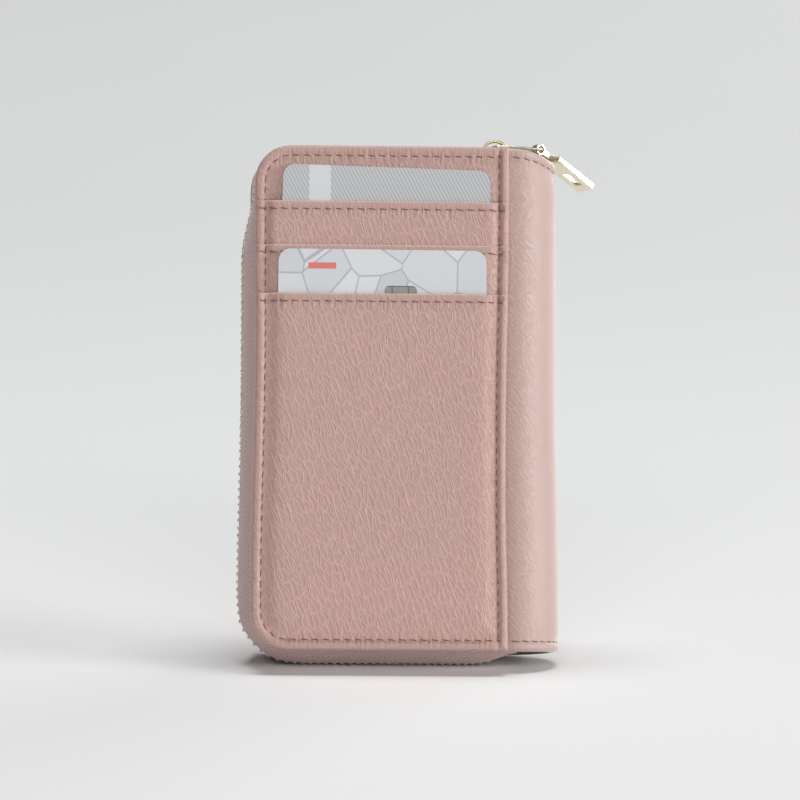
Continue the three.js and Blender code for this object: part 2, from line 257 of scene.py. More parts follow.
def pebbled_leather(name, color, lean_deg, spacing, depth, painted_highlight_lift=0.24, sheen=0.35):
    """Coated leather with a leaning grain, drawn smooth on sewn margins and puckered at the seams."""
    coating = {"Specular IOR Level": 0.9, "Sheen Weight": sheen, "Sheen Roughness": 0.4}
    material, shader = new_material(name, color, 0.48, coating)
    flat = add_node(material, "UVMap").outputs[0]
    drift = add_node(material, "TexNoise", {"Vector": flat, "Scale": 12.0, "Detail": 1.0})
    centred = add_node(
        material, "VectorMath", {0: drift.outputs["Color"], 1: (0.5, 0.5, 0.5)}, operation="SUBTRACT"
    )
    shifted = add_node(
        material,
        "VectorMath",
        {0: centred.outputs[0], 1: (0.008, 0.008, 0.0), 2: flat},
        operation="MULTIPLY_ADD",
    ).outputs[0]
    stretched, long_lines = grain_lines(material, shifted, lean_deg, spacing, 0.0)
    crossing_lines = grain_lines(
        material, shifted, lean_deg + cross_lean, cross_spacing * spacing, cross_seed
    )[1]
    faint_lines = calculated(material, "MULTIPLY", crossing_lines, cross_share)
    lines = calculated(material, "MAXIMUM", long_lines, faint_lines)
    cells = add_node(
        material,
        "TexVoronoi",
        {"Vector": stretched, "Scale": cell_scale / spacing, "Randomness": 0.95},
        feature="DISTANCE_TO_EDGE",
        voronoi_dimensions="2D",
    )
    cell_edges = ramp(material, cells.outputs["Distance"], 0.0, 0.17, 0.5, 0.0, "SMOOTHSTEP")
    crease = calculated(material, "MAXIMUM", lines, cell_edges)
    drawn_smooth = add_node(material, "Attribute", attribute_name="drawn_smooth").outputs["Fac"]
    grain = calculated(material, "SUBTRACT", 1.0, drawn_smooth)
    ridge = calculated(material, "MULTIPLY", crease, grain)
    pores = noise(material, stretched, pore_scale, 3.0, Roughness=0.55)
    height = calculated(material, "MULTIPLY_ADD", pores, 0.9, ridge)
    for attribute, scale in (("pucker_up", (110, 16, 1)), ("pucker_across", (16, 110, 1))):
        amount = add_node(material, "Attribute", attribute_name=attribute).outputs["Fac"]
        streak = add_node(material, "Mapping", {"Vector": flat, "Scale": scale}).outputs[0]
        folds = noise(material, streak, 1.0, 1.0)
        pucker = calculated(material, "MULTIPLY", folds, amount)
        height = calculated(material, "MULTIPLY_ADD", pucker, 3.6, height)
    raised(material, shader, height, 0.6, depth)
    clouds = noise(material, flat, 3.5, 2.0)
    shade = shades(material, clouds, color, 0.965, 1.035)
    # The grain's ridges are coloured lighter than the cells between them, as painted highlight where the
    # raised lines catch the light.
    painted_ridge_highlight = ramp(material, ridge, first=0.95, last=1 + painted_highlight_lift)
    link(material, toned(material, shade, painted_ridge_highlight), shader.inputs["Base Color"])
    link(material, ramp(material, pores, first=0.4, last=0.58), shader.inputs["Roughness"])
    return material


front_leather = pebbled_leather("pebbled rose leather", rose, -18, 1.4, 0.00033)

# Sewn leather sheets: the covers and pockets are cut panels whose edges are turned under, rolled
# and sewn down 2.6 mm in. Each is a grid whose lines crowd together over the sewn margin.
seam_inset = 2.6
roll_width, seam_draw_start, pucker_reach = 0.8, 1.5, 1.7
smooth_share, smooth_until, smooth_end = 0.75, 2.0, 5.0
sheet_step = 2.5
margin_lines = (0, 0.08, 0.22, 0.45, 0.8, 1.25, 1.65, 1.95, 2.25, 2.5, 2.75, 3.1, 3.6, 4.2, 5.0, 6.0)
cover_left, cover_right, cover_top = -66.0, 0.0, 131.0
corner_radius = 9.5
corner_x, low_corner_z, high_corner_z = cover_left + corner_radius, corner_radius, cover_top - corner_radius


def grid_lines(low, high, step, low_margin=margin_lines, high_margin=margin_lines):
    first = [low + line for line in low_margin]
    last = [high - line for line in reversed(high_margin)]
    count = max(2, round((last[0] - first[-1]) / step))
    return np.array(first + list(np.linspace(first[-1], last[0], count + 1)[1:-1]) + last)


def smooth_step(value, low, high):
    share = np.clip((value - low) / (high - low), 0, 1)
    return share * share * (3 - 2 * share)


def bell(value, width):
    """A soft swell: 1 at 0, fading out over a width on both sides."""
    return np.exp(-((value / width) ** 2))


def rolled(inset, width):
    """How far a rolled edge has turned back: 1 at its rim, 0 at its width."""
    return 1 - np.sqrt(1 - np.clip(1 - inset / width, 0, 1) ** 2)


def grid_sheet(name, across, up, form):
    """A sheet on grid lines. form gives each crossing's place, its flat pattern and its surface."""
    bpy.ops.object.select_all(action="DESELECT")
    bpy.ops.mesh.primitive_grid_add(x_subdivisions=len(across) - 1, y_subdivisions=len(up) - 1, size=2)
    sheet = bpy.context.object
    sheet.name = name
    mesh = sheet.data
    corners = np.empty(3 * len(mesh.vertices))
    mesh.vertices.foreach_get("co", corners)
    corners = corners.reshape(-1, 3)
    column = np.rint((corners[:, 0] + 1) / 2 * (len(across) - 1)).astype(int)
    row = np.rint((corners[:, 1] + 1) / 2 * (len(up) - 1)).astype(int)
    points, pattern, surface = form(across[column], up[row])
    mesh.vertices.foreach_set("co", np.column_stack(points).ravel())
    for attribute, amounts in surface.items():
        layer = mesh.attributes.new(attribute, "FLOAT", "POINT")
        layer.data.foreach_set("value", amounts.astype(np.float32))
    loop_vertex = np.empty(len(mesh.loops), dtype=np.int32)
    mesh.loops.foreach_get("vertex_index", loop_vertex)
    flat = pattern_per_mm * np.column_stack(pattern)[loop_vertex]
    mesh.uv_layers.active.data.foreach_set("uv", flat.ravel())
    mesh.update()
    return sheet


def thicken(sheet, thickness, offset=-1):
    apply_modifier(sheet, "SOLIDIFY", thickness=thickness, offset=offset)


def smooth_and_thicken(sheet, thickness):
    apply_modifier(sheet, "SUBSURF", levels=1, render_levels=1)
    thicken(sheet, thickness)


def round_corner(x, z, centre_x, centre_z, radius, up_sign):
    """Moves the grid of a square left corner onto a quarter disc, rings onto arcs."""
    out_x, out_z = (centre_x - x) / radius, up_sign * (z - centre_z) / radius
    inside = (out_x > 0) & (out_z > 0)
    ring = np.maximum(out_x, out_z)
    low, high = np.minimum(out_x, out_z), np.where(ring > 0, ring, 1)
    turn = np.where(out_x >= out_z, low / high, 2 - low / high) * math.pi / 4
    x = np.where(inside, centre_x - radius * ring * np.cos(turn), x)
    z = np.where(inside, centre_z + up_sign * radius * ring * np.sin(turn), z)
    return x, z


def edge_distance(x, z, left, right, bottom, top, low_corner, high_corner):
    """How far inside its outline a point of a panel lies."""
    inset = np.minimum.reduce([x - left, right - x, z - bottom, top - z])
    corners = ((low_corner, bottom + low_corner, -1), (high_corner, top - high_corner, 1))
    for radius, centre_z, up_sign in corners:
        out_x, out_z = left + radius - x, up_sign * (z - centre_z)
        from_arc = radius - np.hypot(out_x, out_z)
        inset = np.where((out_x > 0) & (out_z > 0), np.minimum(inset, from_arc), inset)
    return inset


def sewn_relief(inset, turn, groove, swell, swell_end):
    """Height of a sewn margin: turned back at the rim, rolled, drawn into the seam, then swelling."""
    drawn = -groove * smooth_step(inset, seam_draw_start, seam_inset)
    swollen = (swell + groove) * smooth_step(inset, seam_inset, swell_end)
    return -turn * rolled(inset, roll_width) + drawn + swollen


def sewn_surface(inset, along_top):
    """Where the leather is drawn smooth over the margin, and where the seam puckers it."""
    near = bell(inset - seam_inset, pucker_reach)
    return {
        "drawn_smooth": smooth_share * (1 - smooth_step(inset, smooth_until, smooth_end)),
        "pucker_up": near * along_top,
        "pucker_across": near * (1 - along_top),
    }


# The front panel and the three stepped pockets on it: leather panels laid on each other and sewn
# through round the sides and the bottom. The lip of each pocket is turned over and topstitched.
panel_right = -0.05
past_open_edge = 100
front_layers = {
    "front_pocket_panel": dict(
        top=cover_top, corner=corner_radius, crown=13.75, turn=0.75, swell=0.0, swell_end=6.5, lip=False
    ),
    "card_pocket_upper": dict(
        top=116.4, corner=0.0, crown=14.9, turn=1.1, swell=0.6, swell_end=5.0, lip=True
    ),
    "card_pocket_middle": dict(
        top=105.0, corner=0.0, crown=15.85, turn=0.9, swell=0.46, swell_end=5.0, lip=True
    ),
    "card_pocket_lower": dict(
        top=92.2, corner=0.0, crown=17.3, turn=1.35, swell=0.9, swell_end=7.0, lip=True
    ),
}
lip_seam, lip_turn, lip_roll, lip_groove, lip_groove_width = 2.1, 0.6, 0.5, 0.16, 0.55
lip_pucker_drop, lip_pucker_reach = 0.6, 1.3
lip_smooth_share, lip_smooth_end, lip_smooth_until = 0.6, 4, 2
groove_depth = 0.6
fold_seam = panel_right - 2.45
fold_groove, fold_groove_width = 0.45, 0.5
half_width = 33
left_spread, left_spread_top, left_spread_run = 1.0, 80, 66
fold_draw, fold_draw_top, fold_draw_run = 0.9, 118, 60
foot_spread, foot_spread_top, foot_spread_run = 0.6, 40, 34


def spread(x, z):
    """The panels draw in along their sides and spread again towards the stiff bottom seam."""
    left_half = np.clip((-half_width - x) / half_width, 0, 1)
    fold_half = np.clip((x + half_width) / half_width, 0, 1)
    left = left_spread * smooth_step(left_spread_top - z, 0, left_spread_run)
    drawn_in = fold_draw * smooth_step(fold_draw_top - z, 0, fold_draw_run)
    foot = foot_spread * smooth_step(foot_spread_top - z, 0, foot_spread_run)
    return x - left * left_half - (drawn_in - foot) * fold_half


def layer_inset(layer, x, z):
    sewn_top = layer["top"] + past_open_edge if layer["lip"] else layer["top"]
    return edge_distance(x, z, cover_left, panel_right, 0, sewn_top, corner_radius, layer["corner"])


def layer_face(layer, x, z):
    """How far a layer's face stands out from the middle of the case."""
    inset = layer_inset(layer, x, z)
    face = layer["crown"] + sewn_relief(
        inset, layer["turn"], groove_depth, layer["swell"], layer["swell_end"]
    )
    face = face - fold_groove * bell(x - fold_seam, fold_groove_width)
    if layer["lip"]:
        below = layer["top"] - z
        face = face - lip_turn * rolled(below, lip_roll)
        face = face - lip_groove * bell(below - lip_seam, lip_groove_width)
    return face


lip_lines = (0, 0.06, 0.16, 0.32, 0.55, 1.0, 1.5, 1.85, 2.1, 2.35, 2.75, 3.4, 4.4, 6.0)
for node, layer in front_layers.items():

    def laid_on_front(x, z, layer=layer):
        x, z = round_corner(x, z, corner_x, low_corner_z, corner_radius, -1)
        if layer["corner"]:
            x, z = round_corner(x, z, corner_x, high_corner_z, corner_radius, 1)
        from_side = np.minimum(x - cover_left, panel_right - x)
        along_top = (np.minimum(z, layer["top"] - z) < from_side).astype(float)
        surface = sewn_surface(layer_inset(layer, x, z), along_top)
        if layer["lip"]:
            below = layer["top"] - z
            lip_pucker = bell(below - lip_seam - lip_pucker_drop, lip_pucker_reach)
            surface["pucker_up"] = np.maximum(surface["pucker_up"], lip_pucker)
            smooth_from, smooth_to = layer["top"] - lip_smooth_end, layer["top"] - lip_smooth_until
            lip_smooth = lip_smooth_share * smooth_step(z, smooth_from, smooth_to)
            surface["drawn_smooth"] = np.maximum(surface["drawn_smooth"], lip_smooth)
        return (spread(x, z), -layer_face(layer, x, z), z), (x, z), surface

    sheet = grid_sheet(
        node + "_leather",
        grid_lines(cover_left, panel_right, sheet_step),
        grid_lines(0, layer["top"], sheet_step, high_margin=lip_lines if layer["lip"] else margin_lines),
        laid_on_front,
    )
    smooth_and_thicken(sheet, 0.5)
    stand(sheet, front_leather, "front_cover", "leather", node)

# Thread: waxed tone-on-tone thread, sewn in short stitches that lie in the seams; its colour is darkened far
# below the leather's, as painted shade of the seams.
# One stitch is a slim bead, and each seam is a row of copies.
thread_painted_shade = (0.22, 0.10, 0.083)
thread, shader = new_material("rose thread with painted groove shade", thread_painted_shade, 0.6)
plies = add_node(
    thread,
    "TexWave",
    {"Vector": own_place(thread), "Scale": 900.0, "Distortion": 1.5, "Detail": 1.0},
    bands_direction="DIAGONAL",
).outputs["Fac"]
raised(thread, shader, plies, 0.4, 0.00008)
link(thread, shades(thread, plies, thread_painted_shade, 0.8, 1.15), shader.inputs["Base Color"])

stitch_pitch, stitch_slant, stitch_reach = 2.8, math.radians(7), 0.4
stitch_half_length, stitch_half_width = 1.12, 0.2
bpy.ops.object.select_all(action="DESELECT")
bpy.ops.mesh.primitive_uv_sphere_add(segments=8, ring_count=6, radius=1)
stitch_bead = bpy.context.object
bpy.ops.object.mode_set(mode="EDIT")
bpy.ops.mesh.select_all(action="SELECT")
bpy.ops.transform.rotate(value=math.pi / 2, orient_axis="Y", center_override=(0, 0, 0))
bpy.ops.transform.resize(value=(stitch_half_length, stitch_half_width, stitch_half_width))
bpy.ops.object.mode_set(mode="OBJECT")


def copies(name, master, places):
    """One mesh of many copies of a master piece, each at its place."""
    corners = np.array([vertex.co for vertex in master.data.vertices])
    faces = [list(face.vertices) for face in master.data.polygons]
    moved = [corners @ np.array(place)[:3, :3].T + np.array(place)[:3, 3] for place in places]
    mesh = bpy.data.meshes.new(name)
    mesh.from_pydata(
        np.concatenate(moved),
        [],
        [[index + n * len(corners) for index in face] for n in range(len(places)) for face in faces],
    )
    piece = bpy.data.objects.new(name, mesh)
    bpy.context.scene.collection.objects.link(piece)
    return piece


def stitches(name, line, body):
    """A row of slanted stitches along a line of points in millimetres."""
    line = np.array(line)
    lengths = np.linalg.norm(np.diff(line, axis=0), axis=1)
    run = np.concatenate([[0], np.cumsum(lengths)])
    count = round(run[-1] / stitch_pitch)
    slant = Quaternion((0, 1, 0), stitch_slant)
    places = []
    for spot in (np.arange(count) + 0.5) * run[-1] / count:
        here, before, after = (
            Vector([np.interp(spot + step, run, line[:, axis]) for axis in range(3)])
            for step in (0, -stitch_reach, stitch_reach)
        )
        turn = Vector((1, 0, 0)).rotation_difference((after - before).normalized())
        places.append(Matrix.Translation(here) @ (slant @ turn).to_matrix().to_4x4())
    stand(copies(name, stitch_bead, places), thread, body, "leather")


seam_end_x = -0.8
fold_seam_top, fold_seam_bottom = 130.4, 2.4
lip_seam_left, lip_seam_right = cover_left + 0.7, -1.0
edge_sink, lip_sink = 0.05, 0.06


def sewn_outline():
    """Points of the seam round a cover's free sides: along the top, down the left, along the bottom."""
    radius = corner_radius - seam_inset
    points = [(x, cover_top - seam_inset) for x in np.linspace(seam_end_x, corner_x, 40)]
    for start, centre_z in ((90, high_corner_z), (180, low_corner_z)):
        for angle in np.radians(np.linspace(start, start + 90, 13)):
            points.append((corner_x + radius * math.cos(angle), centre_z + radius * math.sin(angle)))
        if start == 90:
            side = np.linspace(high_corner_z, low_corner_z, 120)
            points += [(cover_left + seam_inset, z) for z in side]
    return points + [(x, seam_inset) for x in np.linspace(corner_x, seam_end_x, 40)]


def front_face(x, z):
    """How far the outermost layer that reaches a point stands out."""
    reaching = [layer for layer in front_layers.values() if z <= layer["top"]]
    return max(float(layer_face(layer, np.array(x), np.array(z))) for layer in reaching)


def on_front(points, sink):
    return [(spread(x, z), -front_face(x, z) + sink, z) for x, z in points]


stitches("front_edge_stitching", on_front(sewn_outline(), edge_sink), "front_cover")
fold_line = [(fold_seam, z) for z in np.linspace(fold_seam_top, fold_seam_bottom, 160)]
stitches("front_fold_stitching", on_front(fold_line, edge_sink), "front_cover")
for node, layer in front_layers.items():
    if layer["lip"]:
        lip = [(x, layer["top"] - lip_seam) for x in np.linspace(lip_seam_left, lip_seam_right, 80)]
        stitches(node + "_stitching", on_front(lip, lip_sink), "front_cover")

# The front cover's own leather: the same coated leather, glued on the board behind the pocket panel.
# Its rim is turned round the board and shows beside the zip.
skin_back = -11.55


def pattern_from_place(piece):
    """Lays the flat pattern straight on a piece, seen from the front."""
    mesh = piece.data
    for loop, uv in zip(mesh.loops, mesh.uv_layers.active.data):
        corner = mesh.vertices[loop.vertex_index].co
        uv.uv = (pattern_per_mm * corner.x, pattern_per_mm * corner.z)


def rounded_slab(name, left, right, bottom, top, corner, low_y, high_y, rim, both_sides=False):
    """A flat panel with softened rims and round corners on its left, or on both sides."""
    bpy.ops.object.select_all(action="DESELECT")
    middle = ((left + right) / 2, (low_y + high_y) / 2, (bottom + top) / 2)
    bpy.ops.mesh.primitive_cube_add(size=1, location=middle)
    slab = bpy.context.object
    slab.name = name
    slab.scale = (right - left, high_y - low_y, top - bottom)
    bpy.ops.object.transform_apply(location=True, rotation=False, scale=True)
    bpy.ops.object.mode_set(mode="EDIT")
    bpy.ops.mesh.select_mode(type="EDGE")
    bpy.ops.mesh.select_all(action="DESELECT")
    bpy.ops.object.mode_set(mode="OBJECT")
    for edge in slab.data.edges:
        ends = [slab.data.vertices[index].co for index in edge.vertices]
        runs_through = abs(ends[0].y - ends[1].y) > 0.01
        edge.select = runs_through and (both_sides or ends[0].x < left + 0.01)
    bpy.ops.object.mode_set(mode="EDIT")
    bpy.ops.mesh.bevel(offset=corner, segments=14, affect="EDGES")
    bpy.ops.object.mode_set(mode="OBJECT")
    rim_angle = math.radians(60)
    apply_modifier(slab, "BEVEL", width=rim, segments=4, limit_method="ANGLE", angle_limit=rim_angle)
    pattern_from_place(slab)
    return slab


skin = rounded_slab(
    "front_cover_skin",
    left=cover_left,
    right=cover_right,
    bottom=0,
    top=cover_top,
    corner=corner_radius,
    low_y=-cover_face,
    high_y=skin_back,
    rim=0.5,
)
stand(skin, front_leather, "front_cover", "leather", "front_cover_leather")

# The rear cover: one plain panel of the same leather, glued over the stiff board.
# Its edges are turned in and sewn on the three free sides, and it runs on into the spine.
past_spine = 40
rear_pattern_shift, rear_sink = 140, 0.08


def rear_inset(x, z):
    return edge_distance(x, z, cover_left, past_spine, 0, cover_top, corner_radius, corner_radius)


def rear_face(x, z):
    relief = sewn_relief(rear_inset(x, z), turn=1.0, groove=groove_depth, swell=0.1, swell_end=7.0)
    return cover_face + relief


def laid_on_rear(x, z):
    for centre_z, up_sign in ((low_corner_z, -1), (high_corner_z, 1)):
        x, z = round_corner(x, z, corner_x, centre_z, corner_radius, up_sign)
    along_top = (np.minimum(z, cover_top - z) < x - cover_left).astype(float)
    surface = sewn_surface(rear_inset(x, z), along_top)
    return (x, rear_face(x, z), z), (rear_pattern_shift - x, z), surface


rear_sheet = grid_sheet(
    "rear_cover_skin",
    grid_lines(cover_left, cover_right, sheet_step, high_margin=(0, 1.5))[::-1],
    grid_lines(0, cover_top, sheet_step),
    laid_on_rear,
)
smooth_and_thicken(rear_sheet, 0.6)
stand(rear_sheet, front_leather, "rear_cover", "leather", "rear_cover_leather")
rear_run = [
    (x, float(rear_face(np.array(x), np.array(z))) - rear_sink, z) for x, z in sewn_outline()
]
stitches("rear_edge_stitching", rear_run, "rear_cover")

# The spine: the same leather bent in a soft half round over felt, its top and bottom edges turned
# and sewn. It is creased along the folds and bellies out a little towards the bottom.
# The spine's rose is paler and greyer than the front leather's, as painted sheen where the half round turns
# to the light.
spine_rose_painted_sheen = (0.53, 0.358, 0.318)
spine_radius, spine_shift = cover_face, 0.2
bottom_dip, top_dip = 0.3, 3.1
belly_rise, foot_belly, foot_belly_top, foot_belly_run = 0.25, 1.0, 75, 65
shoulder_rise, shoulder_swell = 0.2, 0.3
shoulder_start, shoulder_full, shoulder_end = -0.05, 0.2, 0.85
spine_leather = pebbled_leather(
    "creased rose leather with painted sheen", spine_rose_painted_sheen, -42, 1.15, 0.00022, painted_highlight_lift=0.13, sheen=0.7
)
shader = spine_leather.node_tree.nodes["Principled BSDF"]
shader.inputs["Coat Weight"].default_value = 0.3
shader.inputs["Coat Roughness"].default_value = 0.6


def spine_edges(angle):
    dip = np.sin(angle) ** 2
    return bottom_dip * dip, cover_top - top_dip * dip


def spine_face(angle, z):
    """How far the leather lies from the axis of its half round."""
    low, high = spine_edges(angle)
    inset = np.minimum(z - low, high - z)
    belly = belly_rise + foot_belly * smooth_step(foot_belly_top - z, 0, foot_belly_run)
    shoulder = shoulder_rise + shoulder_swell * smooth_step(angle, shoulder_start, shoulder_full)
    shoulder = shoulder * (1 - smooth_step(angle, shoulder_full, shoulder_end))
    relief = sewn_relief(inset, turn=2.4, groove=0.4, swell=0.05, swell_end=7.0)
    return spine_radius + belly * np.sin(angle) + shoulder + relief


def half_round_point(radius, angle, z):
    return spine_shift + radius * np.sin(angle), -radius * np.cos(angle), z


def round_the_spine(angle, height):
    low, high = spine_edges(angle)
    z = low + (high - low) * height / cover_top
    surface = sewn_surface(np.minimum(z - low, high - z), np.ones_like(z))
    stretched_smooth = 0.88 * smooth_step(np.sin(angle), 0.35, 0.72)
    surface["drawn_smooth"] = np.maximum(surface["drawn_smooth"], stretched_smooth)
    return half_round_point(spine_face(angle, z), angle, z), (spine_radius * angle, z), surface


spine_sheet = grid_sheet(
    "spine_skin",
    np.linspace(-0.12, math.pi + 0.1, 54),
    grid_lines(0, cover_top, sheet_step),
    round_the_spine,
)
smooth_and_thicken(spine_sheet, 0.9)
stand(spine_sheet, spine_leather, "spine", "leather", "spine_leather")

seam_angles = np.linspace(0.03, math.pi - 0.03, 80)
low, high = spine_edges(seam_angles)
for name, z in (("spine_top_stitching", high - seam_inset), ("spine_bottom_stitching", low + seam_inset)):
    face = spine_face(seam_angles, z) - edge_sink
    stitches(name, np.column_stack(half_round_point(face, seam_angles, z)), "spine")

# Zip tapes: two woven twill tapes, sewn inside the edges of the covers round their three free sides.
# They stand out least along the top, and draw up again towards the spine at the end of the bottom.
covers = (("front", -1, "front_cover"), ("rear", 1, "rear_cover"))
zip_top_rise, zip_side_rise, zip_bottom_rise, zip_rise_run = -0.2, 2.9, 2.7, 19.0
corner_cut, corner_cut_run, corner_cut_angle = 1.6, 6.5, 225
end_lift, end_lift_start, end_lift_run = 2.9, -10, 12
front_sag = 0.5


def zip_line(top_end, bottom_end):
    """Points along the zip on the cover's edge: place, way out and rise, with the run along them."""
    rows = [(x, cover_top, 90, zip_top_rise) for x in np.linspace(top_end, corner_x, 24)[:-1]]

    def turn_corner(centre_z, start, first_rise, last_rise):
        for share in np.linspace(0, 1, 13)[:-1]:
            angle = math.radians(start + 90 * share)
            x = corner_x + corner_radius * math.cos(angle)
            z = centre_z + corner_radius * math.sin(angle)
            rows.append((x, z, start + 90 * share, first_rise + (last_rise - first_rise) * share))

    turn_corner(high_corner_z, 90, zip_top_rise, zip_top_rise)
    for z in np.linspace(high_corner_z, low_corner_z, 45)[:-1]:
        risen = float(smooth_step(high_corner_z - z, 0, zip_rise_run))
        rows.append((cover_left, z, 180, zip_top_rise + (zip_side_rise - zip_top_rise) * risen))
    turn_corner(low_corner_z, 180, zip_side_rise, zip_bottom_rise)
    for x in np.linspace(corner_x, bottom_end, 40):
        lifted = min(1.0, max(0.0, (x - end_lift_start) / end_lift_run)) ** 2
        rows.append((x, 0, 270, zip_bottom_rise - end_lift * lifted))
    x, z, angle, rise = np.array(rows).T
    run = np.concatenate([[0], np.cumsum(np.hypot(np.diff(x), np.diff(z)))])
    rise = rise - corner_cut * bell(run - np.interp(corner_cut_angle, angle, run), corner_cut_run)
    out = np.radians(angle)
    return np.column_stack([x, z, np.cos(out), np.sin(out), rise]), run


tape_mauve = (0.70, 0.49, 0.475)
rib_pitch, rib_turn = 1.3, 0.047
tape, shader = new_material("mauve twill tape", tape_mauve, 0.85, {"Sheen Weight": 0.3})
flat = add_node(tape, "SeparateXYZ", {0: add_node(tape, "UVMap").outputs[0]})
zigzag = calculated(tape, "PINGPONG", flat.outputs["Y"], rib_turn)
diagonal = calculated(tape, "ADD", flat.outputs["X"], zigzag)
ribs = calculated(tape, "MULTIPLY", diagonal, 100 * 2 * math.pi / rib_pitch)
weave = ramp(tape, calculated(tape, "SINE", ribs), low=-1.0)
link(tape, shades(tape, weave, tape_mauve, 0.7, 1.1), shader.inputs["Base Color"])
raised(tape, shader, weave, 0.6, 0.00015)

tape_width, tape_tuck, tape_bow = 9.5, 0.9, 0.6
tape_under_teeth, tape_seat, tape_span = 0.35, 11.4, 8.6
tape_top_end, tape_bottom_end = -0.5, 3.0
line, run = zip_line(tape_top_end, tape_bottom_end)
for side, sign, body in covers:

    def along_zip(share, spot, sign=sign):
        x, z, out_x, out_z, rise = (np.interp(spot, run, line[:, column]) for column in range(5))
        if sign < 0:
            rise = rise + front_sag * np.clip(-out_z, 0, 1)
        scale = np.hypot(out_x, out_z)
        bow = tape_bow * np.sin(math.pi * share)
        reach = -tape_tuck + (rise - tape_under_teeth + tape_tuck) * share + bow
        depth = sign * (tape_seat - tape_span * share)
        if sign < 0:
            x = spread(x, z)
        place = (x + out_x / scale * reach, depth, z + out_z / scale * reach)
        return place, (spot, tape_width * share), {}

    shares = np.linspace(0, 1, 11)
    strip = grid_sheet("zip_tape_" + side + "_woven", shares if sign < 0 else shares[::-1], run, along_zip)
    thicken(strip, 0.6)
    stand(strip, tape, body, "zip_tape", "zip_tape_" + side)

# Tape tails: the tapes run on past the last tooth at the top, and are tucked down into the spine.
# They are the same twill, and bend where the covers fold.
tail_length, tail_drop, tail_inner, tail_outer = 9.2, 6.0, 4.3, 8.6
tail_start, tail_seat, tail_tilt, tail_taper = -0.6, 1.3, 2.2, 0.35
for side, sign, body in covers:

    def down_in_the_spine(share, spot, sign=sign):
        sunk = tail_drop * smooth_step(spot, 0.5, tail_length) + tail_tilt * share
        width = tail_inner + (tail_outer - tail_inner) * share * (1 - tail_taper * spot / tail_length)
        place = (spot + tail_start, sign * width, cover_top - tail_seat - sunk)
        return place, (spot, tape_width * share), {}

    shares, spots = np.linspace(1, 0, 9), np.linspace(0, tail_length, 13)
    tail = grid_sheet(f"zip_tape_{side}_tail", shares if sign < 0 else shares[::-1], spots, down_in_the_spine)
    thicken(tail, 0.5, offset=0)
    stand(tail, tape, None, "zip_tape")
    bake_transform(tail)

# Zip teeth: small plated brass blocks, clamped one by one on the edges of the tapes.
# The teeth of the two rows sit in each other's gaps.


def plated_metal(name, color, roughness):
    """Pale gold plate with faint polishing clouds."""
    material, shader = new_material(name, color, roughness, {"Metallic": 0.8})
    clouds = noise(material, own_place(material), 260.0, 3.0)
    polish = ramp(material, clouds, first=0.7 * roughness, last=1.3 * roughness)
    link(material, polish, shader.inputs["Roughness"])
    link(material, shades(material, clouds, color, 0.94, 1.04), shader.inputs["Base Color"])
    return material


teeth_metal = plated_metal("pale gold teeth", (0.74, 0.65, 0.49), 0.3)
tooth_length, tooth_depth, tooth_height, tooth_pitch = 0.85, 3.0, 2.2, 2.0
tooth_off_middle = 1.2
row_end_x, first_tooth, last_tooth = -2.2, 0.6, 0.4
bpy.ops.object.select_all(action="DESELECT")
bpy.ops.mesh.primitive_cube_add(size=1)
tooth = bpy.context.object
bpy.ops.object.mode_set(mode="EDIT")
bpy.ops.mesh.select_all(action="SELECT")
bpy.ops.transform.resize(value=(tooth_length, tooth_depth, tooth_height))
bpy.ops.mesh.bevel(offset=0.28, segments=2, affect="EDGES")
bpy.ops.object.mode_set(mode="OBJECT")

line, run = zip_line(row_end_x, row_end_x)
through = Vector((0, 1, 0))
for side, sign, body in covers:
    places = []
    first = first_tooth + (0.5 * tooth_pitch if sign > 0 else 0)
    for spot in np.arange(first, run[-1] - last_tooth, tooth_pitch):
        x, z, out_x, out_z, rise = (float(np.interp(spot, run, line[:, column])) for column in range(5))
        out = Vector((out_x, 0, out_z)).normalized()
        axes = Matrix((through.cross(out), through, out)).transposed().to_4x4()
        if sign < 0:
            x = float(spread(np.array(x), np.array(z)))
            rise += front_sag * max(0.0, -out_z)
        middle = Vector((x, sign * tooth_off_middle, z)) + (rise - 0.5 * tooth_height) * out
        places.append(Matrix.Translation(middle) @ axes)
    teeth = copies("zip_teeth_" + side + "_row", tooth, places)
    stand(teeth, teeth_metal, body, "zip_metal", "zip_teeth_" + side)

# Slider, bridge, link and tab: die-cast zinc, tumbled smooth and plated in pale gold.
# The bridge is riveted on the slider, the link is looped through it and carries the windowed tab.
hardware = plated_metal("polished pale gold", (0.90, 0.85, 0.66), 0.28)
# The bridge has the same pale gold plate, coloured dark olive as painted shade of the dim surroundings it
# reflects.
bridge_plate_painted_shade = plated_metal("pale gold plate with painted shade", (0.46, 0.40, 0.22), 0.26)


def softened(node, name, width, body, material=hardware, slot="hardware"):
    """A cast copy of a solid with its edges tumbled round."""
    select_only(frame["nodes"][node])
    bpy.ops.object.duplicate()
    piece = bpy.context.object
    for key in list(piece.keys()):
        del piece[key]
    piece.parent = None
    piece.name = name
    bpy.ops.object.mode_set(mode="EDIT")
    bpy.ops.mesh.select_all(action="SELECT")
    bpy.ops.mesh.remove_doubles(threshold=0.000005)
    bpy.ops.mesh.dissolve_limited(angle_limit=math.radians(2))
    bpy.ops.object.mode_set(mode="OBJECT")
    sharp = math.radians(25)
    apply_modifier(piece, "BEVEL", width=width, segments=3, limit_method="ANGLE", angle_limit=sharp)
    finish(piece, material, body, slot, node)
    return piece


softened("zip_slider", "cast_slider", 0.00025, "slider")
softened("slider_bridge", "cast_bridge", 0.0002, "slider", bridge_plate_painted_shade)
softened("pull_link", "cast_link", 0.00028, "pull_link")
softened("pull_tab", "cast_tab", 0.0003, "pull_tab")

